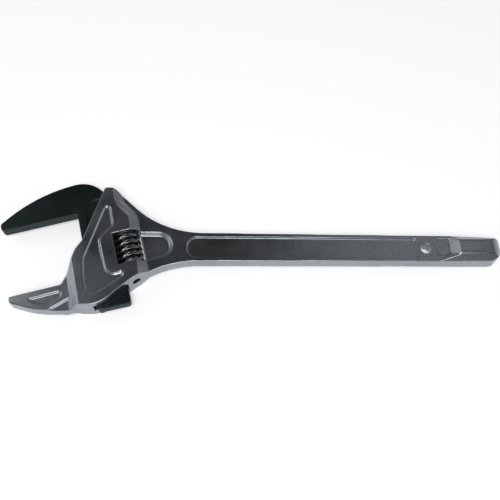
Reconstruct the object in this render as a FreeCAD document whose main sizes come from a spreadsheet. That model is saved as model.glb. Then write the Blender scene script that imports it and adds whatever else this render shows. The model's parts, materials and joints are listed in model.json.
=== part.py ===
import FreeCAD, Part
import math
import os
import Sketcher
from FreeCAD import Placement, Rotation, Vector

# Adjustable wrench, 400 mm long, lying flat with its handle along X and its jaws at the left.
#
# Two drawing frames are used, both with their origin on the handle's axis, halfway through the
# thickness. The plain frame has X along the handle. The jaw frame is turned by jaw_lean about Z:
# its first axis, u, runs along the jaws and its second axis, v, is the way the jaw slides open.

# Driving dimensions in millimetres and degrees.
SIZES = {
    # forging
    "jaw_lean": 16.0,
    "head_thick": 20.0,
    "handle_thick": 10.0,
    "fixed_jaw_thick": 9.8,
    "relief_slope": 56.0,
    "block_ramp": 52.0,
    "bevel_slope": 49.0,
    "wall_slope": 42.0,
    "panel_wall_slope": 4.0,
    "jaw_pocket_slope": 27.0,
    "head_pocket_deep": 1.3,
    "thumb_recess_deep": 2.5,
    "thumb_recess_slope": 50.0,
    "panel_deep": 1.7,
    "jaw_pocket_deep": 1.4,
    "scoop_deep": 0.6,
    "hang_hole_radius": 4.4,
    "hang_hole_x": 139.8,
    "block_low_x": 146.0,
    "block_end_x": 197.8,
    "block_face_half": 5.6,
    # jaws
    "fixed_face": 7.85,
    "jaw_gap": 60.0,
    "slot_thick": 8.5,
    "slot_left": -127.8,
    "slot_right": -99.2,
    "blade_thick": 8.2,
    "shank_left": -127.5,
    "rack_tip": -99.5,
    "rack_floor": -103.1,
    "rack_recess_deep": 1.0,
    "rail_edge": -120.6,
    # worm, its window and its pin
    "worm_axis": -92.5,
    "window_left": -103.2,
    "window_right": -82.1,
    "window_low": 10.4,
    "window_top": 38.9,
    "worm_low": 10.6,
    "worm_long": 28.0,
    "worm_radius": 9.9,
    "thread_pitch": 5.6,
    "thread_deep": 3.2,
    "thread_flank": 24.0,
    "groove_wide": 3.6,
    "thread_gap": 0.28,
    "crest_height": 11.5,
    "pin_radius": 2.5,
    "pin_bore_radius": 2.56,
    "pin_low": 2.6,
    "pin_long": 44.0,
    "screw_radius": 3.0,
    "screw_long": 7.0,
    "screw_hole_radius": 3.1,
    "screw_slot_wide": 1.0,
    "screw_slot_deep": 1.4,
    "spring_bore_radius": 4.8,
    "spring_bore_deep": 8.0,
    "spring_radius": 3.7,
    "spring_wire": 0.45,
    "spring_pitch": 1.8,
}

doc = FreeCAD.newDocument("adjustable_wrench")
sheet = doc.addObject("Spreadsheet::Sheet", "sizes")
for row, (alias, value) in enumerate(SIZES.items(), start=1):
    sheet.set(f"A{row}", alias)
    sheet.set(f"B{row}", str(value))
    sheet.setAlias(f"B{row}", alias)
doc.recompute()


def size(alias):
    return float(sheet.get(alias))


def bind(thing, prop, formula):
    thing.setExpression(prop, formula)


def in_jaw_frame(u, v):
    """The plain-frame X and Y of a point given in the jaw frame."""
    lean = math.radians(size("jaw_lean"))
    return (u * math.cos(lean) - v * math.sin(lean), u * math.sin(lean) + v * math.cos(lean))


def new_body(name):
    body = doc.addObject("PartDesign::Body", name)
    body.Label = name
    return body


def new_sketch(body, name, plane="XY_Plane", height="0", turned=False):
    """A sketch on one of the body's origin planes, lifted by height and turned to the jaw frame."""
    sketch = body.newObject("Sketcher::SketchObject", name)
    flat = [f for f in body.Origin.OriginFeatures if f.Role == plane][0]
    sketch.AttachmentSupport = [(flat, "")]
    sketch.MapMode = "FlatFace"
    bind(sketch, "AttachmentOffset.Base.z", height)
    if turned:
        sketch.AttachmentOffset = Placement(Vector(), Rotation(Vector(0, 0, 1), size("jaw_lean")))
        bind(sketch, "AttachmentOffset.Rotation.Angle", "sizes.jaw_lean * 1 deg")
    return sketch


def draw_corners(sketch, corners):
    """A closed outline of straight runs, each corner (x, y, radius) rounded by its radius."""
    cuts = []
    for index, (x, y, radius) in enumerate(corners):
        corner = Vector(x, y, 0)
        back = Vector(*corners[index - 1][:2], 0) - corner
        ahead = Vector(*corners[(index + 1) % len(corners)][:2], 0) - corner
        half = back.getAngle(ahead) / 2
        if radius == 0:
            cuts.append((corner, corner))
            continue
        start = corner + back.normalize() * (radius / math.tan(half))
        end = corner + ahead.normalize() * (radius / math.tan(half))
        middle = corner + (back + ahead).normalize() * (radius / math.sin(half) - radius)
        sketch.addGeometry(Part.Arc(start, middle, end), False)
        cuts.append((start, end))
    for index, (start, end) in enumerate(cuts):
        sketch.addGeometry(Part.LineSegment(cuts[index - 1][1], start), False)


def draw_circle(sketch, x, y, alias):
    index = sketch.addGeometry(Part.Circle(Vector(x, y, 0), Vector(0, 0, 1), size(alias)), False)
    constraint = sketch.addConstraint(Sketcher.Constraint("Radius", index, size(alias)))
    bind(sketch, f"Constraints[{constraint}]", f"sizes.{alias}")


def pad(body, sketch, name, length, both_ways=True):
    feature = body.newObject("PartDesign::Pad", name)
    feature.Profile = sketch
    feature.SideType = "Symmetric" if both_ways else "One side"
    bind(feature, "Length", length)
    return feature


def pocket(body, sketch, name, length, slope="0", both_ways=False):
    """A cut from the sketch's plane down into the solid, with sloping walls where one is given."""
    feature = body.newObject("PartDesign::Pocket", name)
    feature.Profile = sketch
    feature.SideType = "Symmetric" if both_ways else "One side"
    bind(feature, "Length", length)
    bind(feature, "TaperAngle", slope)
    return feature


def mirrored(body, features, name):
    """The same cuts on the other face."""
    feature = body.newObject("PartDesign::Mirrored", name)
    feature.Originals = features
    flat = [f for f in body.Origin.OriginFeatures if f.Role == "XY_Plane"][0]
    feature.MirrorPlane = (flat, [""])
    body.Tip = feature
    return feature


# ---------------------------------------------------------------- the forging, in one piece

# The free end of the handle in plan, from its lower side round to its upper side.
HANDLE_END = [
    (165.0, -11.3, 40.0),
    (size("block_end_x"), -11.0, 9.5),
    (size("block_end_x"), 7.9, 2.6),
    (165.0, 11.3, 40.0),
]


def add_end_block(body):
    """The thick block at the handle's free end, with bevelled flanks, a ramp and a rounded end."""
    edge = 11.3
    flank = size("handle_thick") / 2
    top = size("head_thick") / 2
    face_half = size("block_face_half")
    section = new_sketch(body, "block_section", plane="YZ_Plane", height="sizes.block_low_x")
    draw_corners(section, [
        (-edge, -flank, 0),
        (-face_half, -top, 5.0),
        (face_half, -top, 5.0),
        (edge, -flank, 0),
        (edge, flank, 0),
        (face_half, top, 5.0),
        (-face_half, top, 5.0),
        (-edge, flank, 0),
    ])
    pad(body, section, "end_block", "sizes.block_end_x - sizes.block_low_x", both_ways=False)

    # The ramp down to the handle, square across and then slanting away along the lower side.
    ramp = new_sketch(body, "block_ramp_outline", height="sizes.head_thick / 2")
    draw_corners(ramp, [
        (130.0, 25.0, 0),
        (165.8, 25.0, 0),
        (165.8, -8.4, 3.0),
        (148.0, -19.2, 0),
        (130.0, -19.2, 0),
    ])
    thinning = "(sizes.head_thick - sizes.handle_thick) / 2"
    ramp_cut = pocket(body, ramp, "block_ramp_cut", thinning, "-sizes.block_ramp")
    mirrored(body, [ramp_cut], "back_block_ramp")

    # The corners in plan, and the faces falling away towards the end.
    trim = new_sketch(body, "end_trim_outline")
    draw_corners(trim, [
        (150.0, -40.0, 0),
        (150.0, -11.4, 0),
        *HANDLE_END,
        (150.0, 11.5, 0),
        (150.0, 40.0, 0),
        (220.0, 40.0, 0),
        (220.0, -40.0, 0),
    ])
    pocket(body, trim, "end_trim", "sizes.head_thick * 2", both_ways=True)
    for side, name in ((1, "front_end_fall"), (-1, "back_end_fall")):
        fall = new_sketch(body, f"{name}_outline", plane="XZ_Plane")
        draw_corners(fall, [
            (181.0, side * (top + 0.001), 0),
            (193.0, side * top * 0.92, 9.0),
            (size("block_end_x") + 0.5, side * top * 0.5, 0),
            (size("block_end_x") + 0.5, side * top * 1.2, 0),
            (181.0, side * top * 1.2, 0),
        ])
        pocket(body, fall, name, "sizes.head_thick * 4", both_ways=True)


def wrench_body():
    body = new_body("wrench_body")
    face = size("fixed_face")

    # Plan view: handle, neck flares, pointed head, throat and fixed jaw.
    plan = new_sketch(body, "plan")
    draw_corners(plan, [
        *HANDLE_END,
        (-69.2, 12.9, 81.0),
        (-111.6, 52.6, 7.5),
        (-120.0, 52.6, 2.6),
        (-132.7, 2.4, 3.0),
        (-137.3, -5.6, 4.0),
        (-141.2, -22.0, 25.0),
        (*in_jaw_frame(-148.9, face), 1.5),
        (*in_jaw_frame(-188.9, face), 1.2),
        (-182.2, -49.4, 2.5),
        (-163.0, -54.6, 60.0),
        (-137.5, -55.4, 12.0),
        (-130.0, -52.2, 12.0),
        (-113.2, -52.0, 22.0),
        (-73.6, -12.7, 83.0),
    ])
    pad(body, plan, "blank", "sizes.head_thick")

    # The neck and handle are thinner than the head.
    front = "sizes.head_thick / 2"
    thinning = "(sizes.head_thick - sizes.handle_thick) / 2"
    relief = new_sketch(body, "handle_relief_outline", height=front)
    draw_corners(relief, [
        (-114.4, 60.0, 0),
        (-113.4, 48.0, 12.0),
        (-110.0, 36.5, 7.0),
        (-98.6, 25.6, 8.0),
        (-95.2, 12.0, 20.0),
        (-86.5, -20.5, 10.0),
        (-84.5, -45.0, 0),
        (230.0, -45.0, 0),
        (230.0, 60.0, 0),
    ])
    handle_relief = pocket(body, relief, "handle_relief", thinning, "-sizes.relief_slope")

    # The fixed jaw is thinner too, with a bevel up to the head.
    jaw_thinning = "(sizes.head_thick - sizes.fixed_jaw_thick) / 2"
    jaw_step = new_sketch(body, "jaw_relief_outline", height=front, turned=True)
    draw_corners(jaw_step, [
        (-137.4, 30.0, 0),
        (-137.4, -45.0, 0),
        (-230.0, -45.0, 0),
        (-230.0, 30.0, 0),
    ])
    jaw_relief = pocket(body, jaw_step, "jaw_relief", jaw_thinning, "-sizes.bevel_slope")
    mirrored(body, [handle_relief, jaw_relief], "back_reliefs")
    add_end_block(body)

    # Slot for the sliding jaw: open towards the throat, the top of the head and its lower edge.
    slot = new_sketch(body, "slot_outline", turned=True)
    draw_corners(slot, [
        (size("slot_right"), -60.0, 0),
        (size("slot_right"), 120.0, 0),
        (-230.0, 120.0, 0),
        (-230.0, face, 0),
        (size("slot_left"), face, 1.4),
        (size("slot_left"), -60.0, 0),
    ])
    pocket(body, slot, "jaw_slot", "sizes.slot_thick", both_ways=True)

    # Window for the worm, right through the head.
    window = new_sketch(body, "window_outline", turned=True)
    low, top = size("window_low"), size("window_top")
    draw_corners(window, [
        (size("window_left"), low, 0),
        (size("window_right"), low, 1.2),
        (size("window_right"), top, 1.2),
        (size("window_left"), top, 0),
    ])
    pocket(body, window, "worm_window", "sizes.head_thick * 2", both_ways=True)

    # Bores for the worm's pin: a wide one from the lower edge, a blind one above the window.
    centre_x, centre_y = in_jaw_frame(size("worm_axis"), 0)
    lean = Rotation(Vector(0, 0, 1), size("jaw_lean"))
    for name, alias, high, depth in (
        ("screw_hole", "screw_hole_radius", low + 1.0, "sizes.window_low + 21"),
        ("pin_seat", "pin_bore_radius", size("pin_low") + size("pin_long") + 0.4,
         "sizes.pin_low + sizes.pin_long + 1.4 - sizes.window_top"),
    ):
        section = body.newObject("Sketcher::SketchObject", f"{name}_outline")
        section.Placement = Placement(Vector(centre_x, centre_y, 0), lean) * Placement(
            Vector(0, high, 0), Rotation(Vector(1, 0, 0), -90))
        draw_circle(section, 0, 0, alias)
        pocket(body, section, name, depth)

    # Sunk panels on the head, the neck and the handle, and the pockets of the fixed jaw.
    head_panel = new_sketch(body, "head_pocket_outline", height=front, turned=True)
    draw_corners(head_panel, [
        (-104.3, 65.8, 2.4),
        (-99.6, 64.4, 2.6),
        (-100.5, 46.0, 3.0),
        (-113.4, 37.0, 5.0),
        (-113.0, 4.4, 6.5),
        (-103.6, 3.4, 2.4),
        (-101.4, 6.6, 1.0),
        (-100.2, -0.1, 1.2),
        (-113.5, -5.6, 20.0),
        (-123.2, -9.8, 8.0),
        (-130.4, -8.4, 5.0),
        (-131.0, 6.0, 40.0),
        (-128.9, 23.0, 10.0),
    ])
    head_pocket = pocket(body, head_panel, "head_pocket", "sizes.head_pocket_deep", "-sizes.wall_slope")

    neck = "sizes.handle_thick / 2"
    thumb = new_sketch(body, "thumb_recess_outline", height=neck, turned=True)
    draw_corners(thumb, [
        (-84.0, 38.0, 0),
        (-58.4, 30.4, 11.0),
        (-58.4, 9.8, 10.0),
        (-84.0, 9.8, 0),
    ])
    thumb_recess = pocket(body, thumb, "thumb_recess", "sizes.thumb_recess_deep", "-sizes.thumb_recess_slope")

    panel = new_sketch(body, "panel_outline", height=neck)
    draw_corners(panel, [
        (-50.2, 9.4, 8.6),
        (133.5, 8.8, 3.0),
        (133.5, -8.8, 3.0),
        (-50.2, -9.4, 8.6),
    ])
    handle_panel = pocket(body, panel, "handle_panel", "sizes.panel_deep", "-sizes.panel_wall_slope")

    scoop = new_sketch(body, "scoop_outline", height=neck)
    draw_corners(scoop, [
        (146.6, 9.2, 2.0),
        (161.0, 9.2, 2.0),
        (161.0, -3.0, 3.0),
        (155.0, -6.6, 3.0),
        (147.6, -6.4, 2.0),
    ])
    thumb_scoop = pocket(body, scoop, "end_scoop", "sizes.scoop_deep", "-sizes.wall_slope")

    jaw_face = "sizes.fixed_jaw_thick / 2"
    long_pocket = new_sketch(body, "jaw_pocket_outline", height=jaw_face, turned=True)
    draw_corners(long_pocket, [
        (-175.4, 2.2, 0.8),
        (-149.4, 2.9, 1.6),
        (-150.0, -2.2, 3.0),
        (-159.9, -5.9, 7.0),
        (-168.5, -3.8, 7.0),
    ])
    jaw_pocket = pocket(body, long_pocket, "jaw_pocket", "sizes.jaw_pocket_deep", "-sizes.jaw_pocket_slope")

    corner = new_sketch(body, "jaw_corner_outline", height=jaw_face, turned=True)
    draw_corners(corner, [
        (-162.5, -10.8, 0.8),
        (-143.8, -4.7, 0.8),
        (-144.4, -16.2, 0.8),
    ])
    jaw_corner = pocket(body, corner, "jaw_corner_pocket", "sizes.jaw_pocket_deep", "-sizes.jaw_pocket_slope")
    mirrored(body, [head_pocket, thumb_recess, handle_panel, thumb_scoop, jaw_pocket, jaw_corner], "back_panels")

    hang = new_sketch(body, "hanging_hole_outline")
    draw_circle(hang, size("hang_hole_x"), 0, "hang_hole_radius")
    pocket(body, hang, "hanging_hole", "sizes.head_thick", both_ways=True)
    return body


# ---------------------------------------------------------------- the sliding jaw


def movable_jaw():
    """Drawn in the jaw frame; its placement turns it by jaw_lean."""
    body = new_body("movable_jaw")
    face = size("fixed_face") + size("jaw_gap")

    plan = new_sketch(body, "hook_and_shank")
    draw_corners(plan, [
        (size("shank_left"), face, 0.6),
        (-188.9, face, 3.2),
        (-188.9, 74.4, 3.2),
        (-157.2, 95.1, 112.0),
        (-113.0, 97.4, 23.0),
        (size("rack_tip"), 78.2, 1.0),
        (size("rack_tip"), -21.2, 3.0),
        (-124.2, -20.4, 1.2),
        (size("shank_left"), -13.0, 4.0),
    ])
    pad(body, plan, "jaw_blank", "sizes.blade_thick")

    # The rack plate is thinner than the rail along the shank's left edge.
    recess = new_sketch(body, "rack_recess_outline", height="sizes.blade_thick / 2")
    draw_corners(recess, [
        (size("rail_edge"), -40.0, 0),
        (size("rail_edge"), 77.6, 11.0),
        (-90.0, 77.6, 0),
        (-90.0, -40.0, 0),
    ])
    rack_recess = pocket(body, recess, "rack_recess", "sizes.rack_recess_deep")
    mirrored(body, [rack_recess], "back_rack_recess")

    # One valley of the rack, slanted like the worm's thread, then the row of them.
    pitch = size("thread_pitch")
    rise = math.tan(math.radians(size("thread_flank")))
    depth = size("rack_tip") - size("rack_floor")
    crest = pitch - size("groove_wide")
    reach = size("worm_axis") - size("worm_radius") - size("rack_floor")
    floor_half = crest / 2 + size("thread_gap") - reach * rise
    run_out = 2.0
    mouth_half = floor_half + (depth + run_out) * rise
    first = size("crest_height") - pitch / 4 - 2 * pitch
    valley = new_sketch(body, "rack_valley")
    draw_corners(valley, [
        (size("rack_floor"), first - floor_half, 0.3),
        (size("rack_floor"), first + floor_half, 0.3),
        (size("rack_tip") + run_out, first + mouth_half, 0),
        (size("rack_tip") + run_out, first - mouth_half, 0),
    ])
    cut = pocket(body, valley, "rack_cut", "sizes.blade_thick * 2", both_ways=True)
    mean_radius = size("worm_radius") - size("thread_deep") / 2
    cut.UseCustomVector = True
    cut.Direction = Vector(0, pitch / (2 * math.pi * mean_radius), 1)
    row = body.newObject("PartDesign::LinearPattern", "rack")
    row.Originals = [cut]
    row.Direction = (plan, ["V_Axis"])
    valleys = 16
    row.Occurrences = valleys
    bind(row, "Length", f"sizes.thread_pitch * {valleys - 1}")
    body.Tip = row
    return body


# ---------------------------------------------------------------- worm, pin and spring


def worm():
    """Turned part drawn about its own Z axis, from its low end at v = 0 of the jaw frame."""
    body = new_body("worm")
    low = size("worm_low")
    high = low + size("worm_long")
    radius = size("worm_radius")
    edge = 0.9
    floor = high - size("spring_bore_deep")
    half = new_sketch(body, "half_section", plane="XZ_Plane")
    draw_corners(half, [
        (size("pin_bore_radius"), low, 0),
        (radius - edge, low, 0),
        (radius, low + edge, 0),
        (radius, high - edge, 0),
        (radius - edge, high, 0),
        (size("spring_bore_radius"), high, 0),
        (size("spring_bore_radius"), floor, 0),
        (size("pin_bore_radius"), floor, 0),
    ])
    turned = body.newObject("PartDesign::Revolution", "turned_blank")
    turned.Profile = half
    turned.ReferenceAxis = (half, ["V_Axis"])
    turned.Angle = 360

    pitch = size("thread_pitch")
    rise = math.tan(math.radians(size("thread_flank")))
    mouth_half = size("groove_wide") / 2
    root_half = mouth_half - size("thread_deep") * rise
    run_out = 1.0
    start = size("crest_height") - pitch / 4 - pitch
    groove = new_sketch(body, "thread_groove", plane="XZ_Plane")
    draw_corners(groove, [
        (radius - size("thread_deep"), start - root_half, 0.3),
        (radius + run_out, start - mouth_half - run_out * rise, 0),
        (radius + run_out, start + mouth_half + run_out * rise, 0),
        (radius - size("thread_deep"), start + root_half, 0.3),
    ])
    thread = body.newObject("PartDesign::SubtractiveHelix", "thread")
    thread.Profile = groove
    thread.ReferenceAxis = (groove, ["V_Axis"])
    thread.Mode = "pitch-turns-angle"
    bind(thread, "Pitch", "sizes.thread_pitch")
    thread.Turns = 7
    thread.LeftHanded = False
    return body


def worm_pin():
    body = new_body("worm_pin")
    low = size("pin_low")
    half = new_sketch(body, "pin_half_section", plane="XZ_Plane")
    draw_corners(half, [
        (0, low, 0),
        (size("screw_radius") - 0.5, low, 0),
        (size("screw_radius"), low + 0.5, 0),
        (size("screw_radius"), low + size("screw_long"), 0),
        (size("pin_radius"), low + size("screw_long") + 0.8, 0),
        (size("pin_radius"), low + size("pin_long") - 0.6, 0),
        (size("pin_radius") - 0.6, low + size("pin_long"), 0),
        (0, low + size("pin_long"), 0),
    ])
    turned = body.newObject("PartDesign::Revolution", "turned_pin")
    turned.Profile = half
    turned.ReferenceAxis = (half, ["V_Axis"])
    turned.Angle = 360
    wide = size("screw_slot_wide") / 2
    slot = new_sketch(body, "screwdriver_slot_outline", plane="XZ_Plane")
    draw_corners(slot, [
        (-wide, low - 1.0, 0),
        (wide, low - 1.0, 0),
        (wide, low + size("screw_slot_deep"), 0),
        (-wide, low + size("screw_slot_deep"), 0),
    ])
    pocket(body, slot, "screwdriver_slot", "sizes.screw_radius * 4", both_ways=True)
    return body


def worm_spring():
    """Open coil of round wire, between the worm's counterbore and the top of the window."""
    body = new_body("worm_spring")
    low = size("worm_low") + size("worm_long") - size("spring_bore_deep") + size("spring_wire") + 0.3
    high = size("window_top") - size("spring_wire") - 0.05
    wire = new_sketch(body, "wire_section", plane="XZ_Plane")
    draw_circle(wire, size("spring_radius"), low, "spring_wire")
    coil = body.newObject("PartDesign::AdditiveHelix", "coil")
    coil.Profile = wire
    coil.ReferenceAxis = (wire, ["V_Axis"])
    coil.Mode = "pitch-height-angle"
    bind(coil, "Pitch", "sizes.spring_pitch")
    coil.Height = high - low
    return body


forging = wrench_body()
jaw = movable_jaw()
turned_parts = [worm(), worm_pin(), worm_spring()]
doc.recompute()

# The jaw frame, and the worm's axis in it, placed in the plain frame.
lean = Rotation(Vector(0, 0, 1), size("jaw_lean"))
jaw.Placement = Placement(Vector(), lean)
axis_x, axis_y = in_jaw_frame(size("worm_axis"), 0)
for body in turned_parts:
    body.Placement = Placement(Vector(axis_x, axis_y, 0), lean) * Placement(
        Vector(), Rotation(Vector(1, 0, 0), -90))
doc.recompute()

# The part's origin is the middle of its box in plan, at the level it lies on.
bodies = [forging, jaw, *turned_parts]
box = FreeCAD.BoundBox()
for body in bodies:
    box.add(body.Shape.optimalBoundingBox(False, False))
shift = Vector(-box.Center.x, -box.Center.y, -box.ZMin)
for body in bodies:
    body.Placement = Placement(shift, Rotation()) * body.Placement
doc.recompute()

for thing in doc.Objects:
    if "Invalid" in thing.State or "Error" in thing.State:
        raise RuntimeError(f"{thing.Name} did not compute: {thing.State}")
for body in bodies:
    if body.Shape.isNull() or not body.Shape.isValid() or not body.Shape.Solids:
        raise RuntimeError(f"{body.Label} has no valid solid")

os.makedirs("parts", exist_ok=True)
for body in bodies:
    body.Shape.exportStep(f"parts/{body.Label}.step")
    print(body.Label, len(body.Shape.Solids), "solid,", round(body.Shape.Volume), "mm3", body.Shape.BoundBox)
print("origin is at", -shift, "of the drawing frame")
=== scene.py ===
import json
import math

import bmesh
import bpy
import numpy as np
from mathutils import Matrix, Vector


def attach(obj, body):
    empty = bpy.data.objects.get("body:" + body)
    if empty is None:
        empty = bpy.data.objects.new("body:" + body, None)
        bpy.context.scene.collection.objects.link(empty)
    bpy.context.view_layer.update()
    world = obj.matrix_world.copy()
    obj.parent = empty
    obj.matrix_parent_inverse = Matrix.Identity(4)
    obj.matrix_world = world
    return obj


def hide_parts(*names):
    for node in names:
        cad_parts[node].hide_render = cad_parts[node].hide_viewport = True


MM = 0.001

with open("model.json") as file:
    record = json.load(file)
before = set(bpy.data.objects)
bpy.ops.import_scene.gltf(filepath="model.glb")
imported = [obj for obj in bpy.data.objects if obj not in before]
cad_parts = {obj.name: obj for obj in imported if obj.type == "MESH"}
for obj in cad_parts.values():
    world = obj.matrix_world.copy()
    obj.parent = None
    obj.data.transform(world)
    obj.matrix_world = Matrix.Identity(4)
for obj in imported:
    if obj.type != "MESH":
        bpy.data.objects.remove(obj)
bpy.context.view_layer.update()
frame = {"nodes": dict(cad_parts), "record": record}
nodes = frame["nodes"]
mounts = {mount["name"]: mount for mount in frame["record"]["mounts"]}

# The handle's axis at mid thickness: the hanging hole is on it, 139.8 mm from the drawing's origin.
HOLE_FROM_CENTRE = 139.8 * MM
hole = Vector(mounts["hanging_hole"]["pos_m"])
CENTRE = hole - Vector((HOLE_FROM_CENTRE, 0, 0))


# ---------------------------------------------------------------- camera, floor and light


def add_camera():
    distance, tilt, roll = 496 * MM, math.radians(28), math.radians(0.4)
    data = bpy.data.cameras.new("camera")
    data.sensor_width = 36
    data.lens = 44.64
    data.clip_start = 0.01
    camera = bpy.data.objects.new("camera", data)
    bpy.context.scene.collection.objects.link(camera)
    turn = Matrix.Rotation(tilt, 4, "X")
    camera.matrix_world = (Matrix.Translation(CENTRE) @ turn @ Matrix.Translation((0, 0, distance))
                           @ Matrix.Rotation(roll, 4, "Z"))
    bpy.context.scene.camera = camera


def area_light(name, place, aim, width, height, power):
    data = bpy.data.lights.new(name, "AREA")
    data.shape = "RECTANGLE"
    data.size, data.size_y = width, height
    data.energy = power
    light = bpy.data.objects.new(name, data)
    bpy.context.scene.collection.objects.link(light)
    light.location = place
    light.rotation_euler = (Vector(aim) - Vector(place)).to_track_quat("-Z", "Y").to_euler()


def add_floor_and_light():
    bpy.ops.mesh.primitive_plane_add(size=8.0, location=(0, 0, 0))
    floor = bpy.context.object
    floor.name = "floor"
    paper, shader = new_material("floor_paper", roughness=0.9)
    shader.inputs["Base Color"].default_value = (0.86, 0.86, 0.86, 1)
    shader.inputs["Emission Color"].default_value = (1, 1, 1, 1)
    shader.inputs["Emission Strength"].default_value = 0.39
    floor.data.materials.append(paper)
    add_studio_walls()
    area_light("camera_side_softbox", (0.0, -0.7, 1.32), (0, 0, 0), 0.75, 0.75, 13)
    area_light("left_softbox", (-0.8, 0.47, 0.96), (0, 0, 0), 0.22, 0.4, 0.75)
    area_light("left_kicker", (-1.05, 0.34, 0.63), (-0.09, 0, 0), 0.16, 0.16, 0.6)
    area_light("right_softbox", (0.5, 0.55, 1.05), (0.1, 0, 0), 0.7, 0.5, 0.5)
    bpy.context.scene.view_settings.view_transform = "Standard"


def add_studio_walls():
    """White at the left and right near the horizon, dimmer in front and behind, dark overhead."""
    world = bpy.data.worlds.new("studio")
    world.use_nodes = True
    nodes = Nodes(world.node_tree, "Generated")
    direction = nodes.add("SeparateXYZ")
    nodes.join(nodes.place, direction.inputs["Vector"])
    upward = nodes.spread(direction.outputs["Z"], 0.3, 0.8, 1.15, 0.03, curve="SMOOTHSTEP")
    front_or_back = nodes.add("Math", operation="ABSOLUTE")
    nodes.join(direction.outputs["Y"], front_or_back.inputs[0])
    sideways = nodes.spread(front_or_back.outputs["Value"], 0, 0.8, 1, 0.3, curve="SMOOTHSTEP")
    background = world.node_tree.nodes["Background"]
    background.inputs["Color"].default_value = (1, 1, 1, 1)
    nodes.join(nodes.math("MULTIPLY", upward, sideways), background.inputs["Strength"])
    bpy.context.scene.world = world


# ---------------------------------------------------------------- materials


def new_material(name, roughness, metallic=0.0):
    material = bpy.data.materials.new(name)
    material.use_nodes = True
    shader = material.node_tree.nodes["Principled BSDF"]
    shader.inputs["Roughness"].default_value = roughness
    shader.inputs["Metallic"].default_value = metallic
    return material, shader


class Nodes:
    """Short names for adding and joining nodes, with the place or direction they are worked out at."""

    def __init__(self, tree, coordinates="Object"):
        self.tree = tree
        self.place = self.add("TexCoord").outputs[coordinates]

    def add(self, kind, **settings):
        node = self.tree.nodes.new(f"ShaderNode{kind}")
        for name, value in settings.items():
            setattr(node, name, value)
        return node

    def join(self, source, target):
        self.tree.links.new(source, target)

    def noise(self, scale, detail=3.0, roughness=0.55, stretch=(1, 1, 1)):
        where = self.add("Mapping")
        where.inputs["Scale"].default_value = stretch
        self.join(self.place, where.inputs["Vector"])
        noise = self.add("TexNoise")
        noise.inputs["Scale"].default_value = scale
        noise.inputs["Detail"].default_value = detail
        noise.inputs["Roughness"].default_value = roughness
        self.join(where.outputs["Vector"], noise.inputs["Vector"])
        return noise.outputs["Fac"]

    def spread(self, value, low, high, out_low, out_high, curve="LINEAR"):
        """value mapped from low..high to out_low..out_high, held at the ends."""
        node = self.add("MapRange", clamp=True, interpolation_type=curve)
        ends = {"From Min": low, "From Max": high, "To Min": out_low, "To Max": out_high}
        for name, number in ends.items():
            node.inputs[name].default_value = number
        self.join(value, node.inputs["Value"])
        return node.outputs["Result"]

    def math(self, operation, first, second):
        node = self.add("Math", operation=operation)
        self.join(first, node.inputs[0])
        self.join(second, node.inputs[1])
        return node.outputs["Value"]

    def ramp(self, value, stops):
        """value coloured through stops of (position, (r, g, b))."""
        node = self.add("ValToRGB")
        band = node.color_ramp
        while len(band.elements) < len(stops):
            band.elements.new(0.5)
        for element, (position, colour) in zip(band.elements, stops):
            element.position = position
            element.color = (*colour, 1)
        self.join(value, node.inputs["Fac"])
        return node.outputs["Color"]

    def bump(self, shader, heights):
        """Bumps of (value, distance in metres), one over another, into the shader's normal."""
        normal = None
        for value, distance in heights:
            node = self.add("Bump")
            node.inputs["Distance"].default_value = distance
            self.join(value, node.inputs["Height"])
            if normal:
                self.join(normal, node.inputs["Normal"])
            normal = node.outputs["Normal"]
        self.join(normal, shader.inputs["Normal"])


def worn_steel(name, dark, light, worn, roughness, grain, speckle):
    """Blasted or blackened steel: mottled colour, uneven sheen, fine grain, bare metal along its edges.

    speckle is the share of the mottling that is fine, and grain is the depth of the fine bumps.
    """
    cloud_depth = 0.03 * MM
    material, shader = new_material(name, roughness=roughness, metallic=1.0)
    nodes = Nodes(material.node_tree)
    cloud = nodes.noise(scale=38, detail=4)
    blast = nodes.noise(scale=950, detail=2)
    edges = nodes.add("Attribute", attribute_name="convex").outputs["Fac"]
    wear = nodes.spread(edges, 0.06, 0.22, 0, 0.7)
    patchy_wear = nodes.math("MULTIPLY", wear, nodes.spread(nodes.noise(scale=150), 0.35, 0.62, 0.3, 1))
    mottled = nodes.math("ADD", nodes.spread(cloud, 0.32, 0.68, 0, 1 - speckle),
                         nodes.spread(blast, 0.36, 0.64, 0, speckle))
    shade = nodes.ramp(mottled, ((0.0, dark), (1.0, light)))
    mix = nodes.add("Mix", data_type="RGBA")
    nodes.join(patchy_wear, mix.inputs["Factor"])
    nodes.join(shade, mix.inputs["A"])
    mix.inputs["B"].default_value = (*worn, 1)
    nodes.join(mix.outputs["Result"], shader.inputs["Base Color"])
    uneven = nodes.spread(cloud, 0.3, 0.7, roughness - 0.04, roughness + 0.05)
    nodes.join(uneven, shader.inputs["Roughness"])
    nodes.bump(shader, [(cloud, cloud_depth), (blast, grain)])
    return material


def forged_steel():
    return worn_steel("forged_steel", (0.225, 0.246, 0.273), (0.375, 0.402, 0.435), (0.6, 0.61, 0.63),
                      roughness=0.3, grain=0.04 * MM, speckle=0.6)


def black_jaw():
    return worn_steel("black_jaw", (0.022, 0.033, 0.034), (0.042, 0.056, 0.057), (0.1, 0.108, 0.108),
                      roughness=0.46, grain=0.02 * MM, speckle=0.3)


def worm_steel():
    return worn_steel("worm_steel", (0.14, 0.15, 0.155), (0.2, 0.21, 0.215), (0.6, 0.6, 0.6),
                      roughness=0.22, grain=0.002 * MM, speckle=0.2)


# ---------------------------------------------------------------- softened copies of the CAD pieces


def roundness(x):
    """How much the edges are rounded: 1 on the head, falling to half that along the handle."""
    neck_start, neck_long = -85 * MM, 35 * MM
    return 1 - 0.5 * min(max((x - neck_start) / neck_long, 0), 1)


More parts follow.
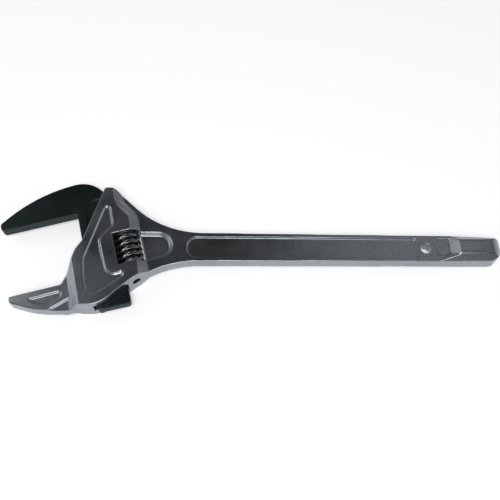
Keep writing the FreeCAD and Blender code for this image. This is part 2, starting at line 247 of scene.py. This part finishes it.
def softened(node_name, body, voxel, passes, faces, material):
    """Adds a copy of a CAD node, its sharp edges worn round, in the node's place and on its body.

    It is cut into voxels of that size, smoothed in that many passes, and thinned to at most that many
    triangles.
    """
    levels = 8
    node = nodes[node_name]
    piece = bpy.data.objects.new(f"{node_name}_skin", node.data.copy())
    piece.matrix_world = node.matrix_world
    bpy.context.scene.collection.objects.link(piece)
    mesh = bmesh.new()
    mesh.from_mesh(piece.data)
    bmesh.ops.remove_doubles(mesh, verts=mesh.verts, dist=0.0001 * MM)
    mesh.to_mesh(piece.data)
    mesh.free()

    remesh = piece.modifiers.new("remesh", "REMESH")
    remesh.mode = "VOXEL"
    remesh.voxel_size = voxel
    apply_modifiers(piece)
    rounding = piece.vertex_groups.new(name="rounding")
    for level in range(1, levels + 1):
        rounding.add([vertex.index for vertex in piece.data.vertices
                      if round(levels * roundness(vertex.co.x - CENTRE.x)) == level],
                     level / levels, "REPLACE")
    smooth = piece.modifiers.new("smooth", "SMOOTH")
    smooth.factor = 0.5
    smooth.iterations = passes
    smooth.vertex_group = "rounding"
    apply_modifiers(piece)
    triangles = 2 * len(piece.data.polygons)
    if triangles > faces:
        fewer = piece.modifiers.new("fewer", "DECIMATE")
        fewer.ratio = faces / triangles
        apply_modifiers(piece)
    for polygon in piece.data.polygons:
        polygon.use_smooth = True
    weigh = piece.modifiers.new("weigh", "WEIGHTED_NORMAL")
    weigh.mode = "FACE_AREA_WITH_ANGLE"
    apply_modifiers(piece)
    mark_convex(piece.data)
    piece.data.materials.clear()
    piece.data.materials.append(material)
    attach(piece, body)
    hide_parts(node_name)


def mark_convex(mesh):
    """How far each point stands out from its neighbours, kept as the mesh's convex attribute."""
    shortest = 1e-9
    points = np.empty(3 * len(mesh.vertices))
    normals = np.empty_like(points)
    ends = np.empty(2 * len(mesh.edges), dtype=int)
    mesh.vertices.foreach_get("co", points)
    mesh.vertices.foreach_get("normal", normals)
    mesh.edges.foreach_get("vertices", ends)
    points, normals, ends = points.reshape(-1, 3), normals.reshape(-1, 3), ends.reshape(-1, 2)
    total = np.zeros(len(points))
    count = np.zeros(len(points))
    for here, there in ((0, 1), (1, 0)):
        run = points[ends[:, there]] - points[ends[:, here]]
        run /= np.maximum(np.linalg.norm(run, axis=1), shortest)[:, None]
        np.add.at(total, ends[:, here], -(run * normals[ends[:, here]]).sum(axis=1))
        np.add.at(count, ends[:, here], 1)
    convex = mesh.attributes.new("convex", "FLOAT", "POINT")
    convex.data.foreach_set("value", total / np.maximum(count, 1))


def apply_modifiers(piece):
    """The piece's mesh as its modifiers leave it."""
    bpy.context.view_layer.update()
    shape = piece.evaluated_get(bpy.context.evaluated_depsgraph_get())
    mesh = bpy.data.meshes.new_from_object(shape)
    old = piece.data
    piece.modifiers.clear()
    piece.data = mesh
    bpy.data.meshes.remove(old)


add_camera()
add_floor_and_light()
dark_steel = worm_steel()
for name in ("worm_pin", "worm_spring"):
    for slot in nodes[name].material_slots:
        slot.material = dark_steel
softened("wrench_body", "body", 0.383 * MM, 6, 190000, forged_steel())
softened("movable_jaw", "jaw", 0.347 * MM, 5, 120000, black_jaw())
softened("worm", "worm", 0.197 * MM, 4, 120000, dark_steel)
